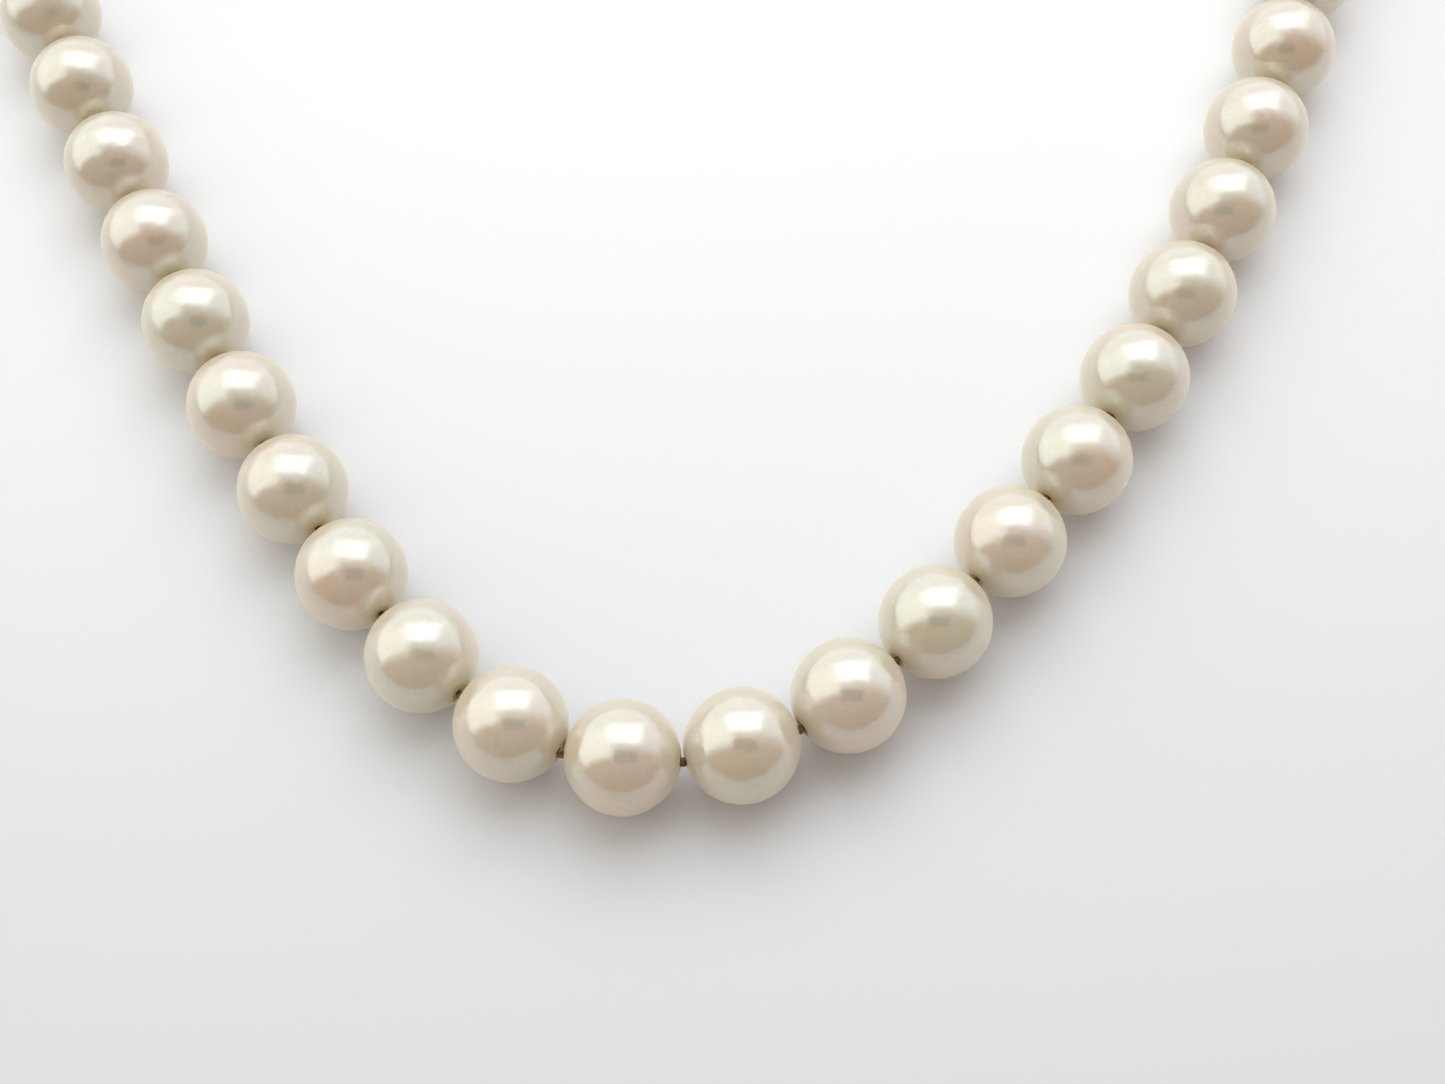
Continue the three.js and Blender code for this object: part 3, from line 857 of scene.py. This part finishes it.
clasp = {
    "start": 6.4,
    "front": 19.4,
    "width": 7.0,
    "corner": 2.0,
    "shellLevels": ((0.35, 0.0), (0.1, 0.08), (0.0, 0.35), (0.0, 4.0), (0.08, 4.15), (0.2, 4.2), (0.5, 4.2),
                    (0.62, 4.15), (0.7, 4.0), (0.7, 1.0), (0.8, 0.78), (1.05, 0.7)),
    "slot": ((-2.1, 0.7), (2.1, 0.7), (2.1, 3.4), (0.95, 3.4), (0.95, 4.9), (-0.95, 4.9), (-0.95, 3.4),
             (-2.1, 3.4)),
    "lidLevels": ((0.3, 4.2), (0.3, 4.38), (0.06, 4.42), (0.0, 4.5), (0.0, 4.86), (0.06, 4.98), (0.2, 5.04),
                  (0.3, 4.98), (0.66, 4.98), (0.78, 5.08), (1.2, 5.22), (1.8, 5.34), (2.5, 5.4), (3.1, 5.41)),
    "lidNotch": (16.8, 1.9),
    "beadPath": (0.48, 5.0),
    "bead": 0.17,
    "beadSpacing": 0.38,
    "loop": (4.8, 2.55, 1.6, 0.45),
    "plate": (5.1, 0.8, 1.0),
    "base": (6.5, 18.45, 3.7, 0.925, 0.95, 1.4),
    "seamBar": (18.05, 1.5, 0.15),
    "leafOrigin": (18.0, 1.875),
    "leafAngle": 12.0,
    "leafLength": 10.07,
    "leafWidth": 3.2,
    "leafThickness": 0.45,
    "leafBow": 0.1,
    "tabPlace": (-9.32, 0.525),
    "tabProfile": ((0.5, -0.3), (0.5, 0.85), (0.53, 1.05), (0.64, 1.25), (0.82, 1.42), (0.9, 1.58),
                   (0.9, 1.74), (0.84, 1.9), (0.7, 2.0), (0.4, 2.06), (0.15, 2.07)),
}


def loft(rings, closed=False):
    # skins a stack of equal rings; the two ends are capped, or joined to each other
    work = bmesh.new()
    made = [[work.verts.new(Vector(point) * mm) for point in ring] for ring in rings]
    pairs = list(zip(made, made[1:])) + ([(made[-1], made[0])] if closed else [])
    for lower, upper in pairs:
        for i in range(len(lower)):
            j = (i + 1) % len(lower)
            work.faces.new((lower[i], lower[j], upper[j], upper[i]))
    if not closed:
        work.faces.new(made[0])
        work.faces.new(made[-1])
    bmesh.ops.recalc_face_normals(work, faces=work.faces)
    mesh = bpy.data.meshes.new("loft")
    work.to_mesh(mesh)
    work.free()
    return mesh


def joined(meshes):
    work = bmesh.new()
    for mesh in meshes:
        work.from_mesh(mesh)
    result = bpy.data.meshes.new("joined")
    work.to_mesh(result)
    work.free()
    return result


def carved(mesh, cutter):
    solid, tool = (bpy.data.objects.new(label, data) for label, data in (("solid", mesh), ("tool", cutter)))
    scene.collection.objects.link(solid)
    scene.collection.objects.link(tool)
    cut = solid.modifiers.new("Cut", "BOOLEAN")
    cut.operation = "DIFFERENCE"
    cut.solver = "EXACT"
    cut.object = tool
    graph = bpy.context.evaluated_depsgraph_get()
    result = bpy.data.meshes.new_from_object(solid.evaluated_get(graph))
    solid.modifiers.remove(cut)
    bpy.data.objects.remove(solid)
    bpy.data.objects.remove(tool)
    return turnOut(result)


def softened(mesh, place):
    # smooth shading but for the real edges, then to its place on the necklace
    mesh.shade_smooth()
    mesh.set_sharp_from_angle(angle=math.radians(38))
    mesh.transform(place)
    return mesh


def roundedPlan(x0, x1, width, corner, steps=8):
    side = width / 2
    corners = ((x1 - corner, side - corner), (x0 + corner, side - corner), (x0 + corner, corner - side),
               (x1 - corner, corner - side))
    points = []
    for quarter, (x, y) in enumerate(corners):
        for step in range(steps + 1):
            angle = math.pi / 2 * (quarter + step / steps)
            points.append((x + corner * math.cos(angle), y + corner * math.sin(angle)))
    return points


def shell(x0, x1, width, corner, levels):
    return loft([[(x, y, z) for x, y in roundedPlan(x0 + inset, x1 - inset, width - 2 * inset,
                                                    max(corner - inset, 0.12))]
                 for inset, z in levels])


def ringRound(x, z, radius, wire):
    # a wire ring lying flat
    rings = []
    for step in range(56):
        turn = 2 * math.pi * step / 56
        rings.append([((x + (radius + wire * math.cos(a)) * math.cos(turn)),
                       (radius + wire * math.cos(a)) * math.sin(turn), z + wire * math.sin(a))
                      for a in (2 * math.pi * k / 18 for k in range(18))])
    return loft(rings, closed=True)


def strip(length, bow, thickness, width):
    # a bowed flat spring from its rounded fold at zero back along x, with eased edges
    rings = []
    for inset, y in ((0.07, -width / 2), (0, 0.07 - width / 2), (0, width / 2 - 0.07), (0.07, width / 2)):
        half = thickness / 2 - inset
        shares = [k / 24 for k in range(25)]
        line = [(-share * (length - inset), bow * math.sin(math.pi * share)) for share in shares]
        nose = [(half * math.sin(math.pi * k / 8), half * math.cos(math.pi * k / 8)) for k in range(1, 8)]
        outline = [(x, z + half) for x, z in reversed(line)] + nose + [(x, z - half) for x, z in line]
        rings.append([(x, y, z) for x, z in outline])
    return loft(rings)


def turned(profile, sides=40):
    angles = [2 * math.pi * k / sides for k in range(sides)]
    return loft([[(r * math.cos(a), r * math.sin(a), z) for a in angles] for r, z in profile])


def makeBeadTree():
    tree, sizes = startTree("milgrain", {"Radius": "Float", "Spacing": "Float", "Material": "Material"})
    given = sizes.outputs
    rail = addNode(tree, "GeometryNodeMeshToCurve", links={"Mesh": given["Geometry"]})
    spaced = addNode(tree, "GeometryNodeCurveToPoints", {"mode": "LENGTH"}, {
        "Curve": rail.outputs[0], "Length": given["Spacing"],
    })
    bead = addNode(tree, "GeometryNodeMeshUVSphere", {"Segments": 8, "Rings": 5}, {"Radius": given["Radius"]})
    placed = addNode(tree, "GeometryNodeInstanceOnPoints", links={
        "Points": spaced.outputs[0], "Instance": bead.outputs[0],
    })
    endTree(tree, placed.outputs[0], sizes)
    return tree


def makeBox():
    outline = (clasp["start"], clasp["front"], clasp["width"], clasp["corner"])
    front = clasp["front"]
    cutter = loft([[(x, y, z) for y, z in clasp["slot"]] for x in (front - 1.05, front + 0.7)])
    body = carved(shell(*outline, clasp["shellLevels"]), cutter)
    body = joined([body, ringRound(*clasp["loop"])])
    addPiece("box_shell", softened(body, boxEnd), "clasp_box", ["clasp_box"], silverMaterial)

    notchStart, notchWidth = clasp["lidNotch"]
    notchPlan = roundedPlan(notchStart, front + 2, notchWidth, 0.5)
    notch = loft([[(x, y, z) for x, y in notchPlan] for z in (4.0, 6.0)])
    lid = carved(shell(*outline, clasp["lidLevels"]), notch)
    inset, height = clasp["beadPath"]
    plan = roundedPlan(outline[0] + inset, outline[1] - inset, outline[2] - 2 * inset, outline[3] - inset)
    path = [Vector((x, y, height)) * mm for x, y in plan]
    gap = notchWidth / 2 + 0.25
    mouth = path[0].copy()
    mouth.y = gap * mm
    last = path[-1].copy()
    last.y = -gap * mm
    beads = grow(makeBeadTree(), {
        "Radius": clasp["bead"] * mm, "Spacing": clasp["beadSpacing"] * mm, "Material": silverMaterial,
    }, [mouth] + path + [last])
    lid = joined([lid, beads])
    addPiece("box_lid", softened(lid, boxEnd), "clasp_box", ["clasp_lid"], silverMaterial)


def makeTongue():
    height, thick, corner = clasp["plate"]
    start = clasp["start"]
    rings = []
    for inset, x in ((0.12, start), (0, start + 0.12), (0, start + thick - 0.12), (0.12, start + thick)):
        plan = roundedPlan(inset, height - inset, clasp["width"] - 2 * inset, corner - inset)
        rings.append([(x, y, z) for z, y in plan])
    x0, x1, width, tip, bottom, top = clasp["base"]
    base = shell(x0, x1, width, tip, ((0.06, bottom), (0, bottom + 0.06), (0, top - 0.06), (0.06, top)))
    barX, barZ, barRadius = clasp["seamBar"]
    half = clasp["leafWidth"] / 2
    bar = loft([[(barX + r * math.cos(a), y, barZ + r * math.sin(a))
                 for a in (2 * math.pi * k / 16 for k in range(16))]
                for r, y in ((barRadius * 0.6, -half), (barRadius, 0.08 - half), (barRadius, half - 0.08),
                             (barRadius * 0.6, half))])
    whole = joined([loft(rings), base, bar, ringRound(*clasp["loop"])])
    addPiece("tongue_body", softened(whole, tongueEnd), "tongue", ["tongue_base"], silverMaterial)

    x, z = clasp["leafOrigin"]
    fold = tongueEnd @ Matrix.Translation((x * mm, 0, z * mm))
    fold = fold @ Matrix.Rotation(math.radians(clasp["leafAngle"]), 4, "Y")
    leaf = strip(clasp["leafLength"], clasp["leafBow"], clasp["leafThickness"], clasp["leafWidth"])
    addPiece("spring_strip", softened(leaf, fold), "spring_leaf", ["tongue_leaf"], silverMaterial)
    tabX, tabZ = clasp["tabPlace"]
    tab = turned(clasp["tabProfile"])
    tab.transform(Matrix.Translation((tabX * mm, 0, tabZ * mm)))
    addPiece("thumb_tab", softened(tab, fold), "spring_leaf", ["tongue_tab"], silverMaterial)


boxEnd = armEnd(knots[1], knots[0])
tongueEnd = armEnd(knots[-2], knots[-1])
makeSilkPieces()
print("silk knotted:", len(knots), "knots")
makeGimps()
makeBox()
makeTongue()
print("gimp and clasp made")
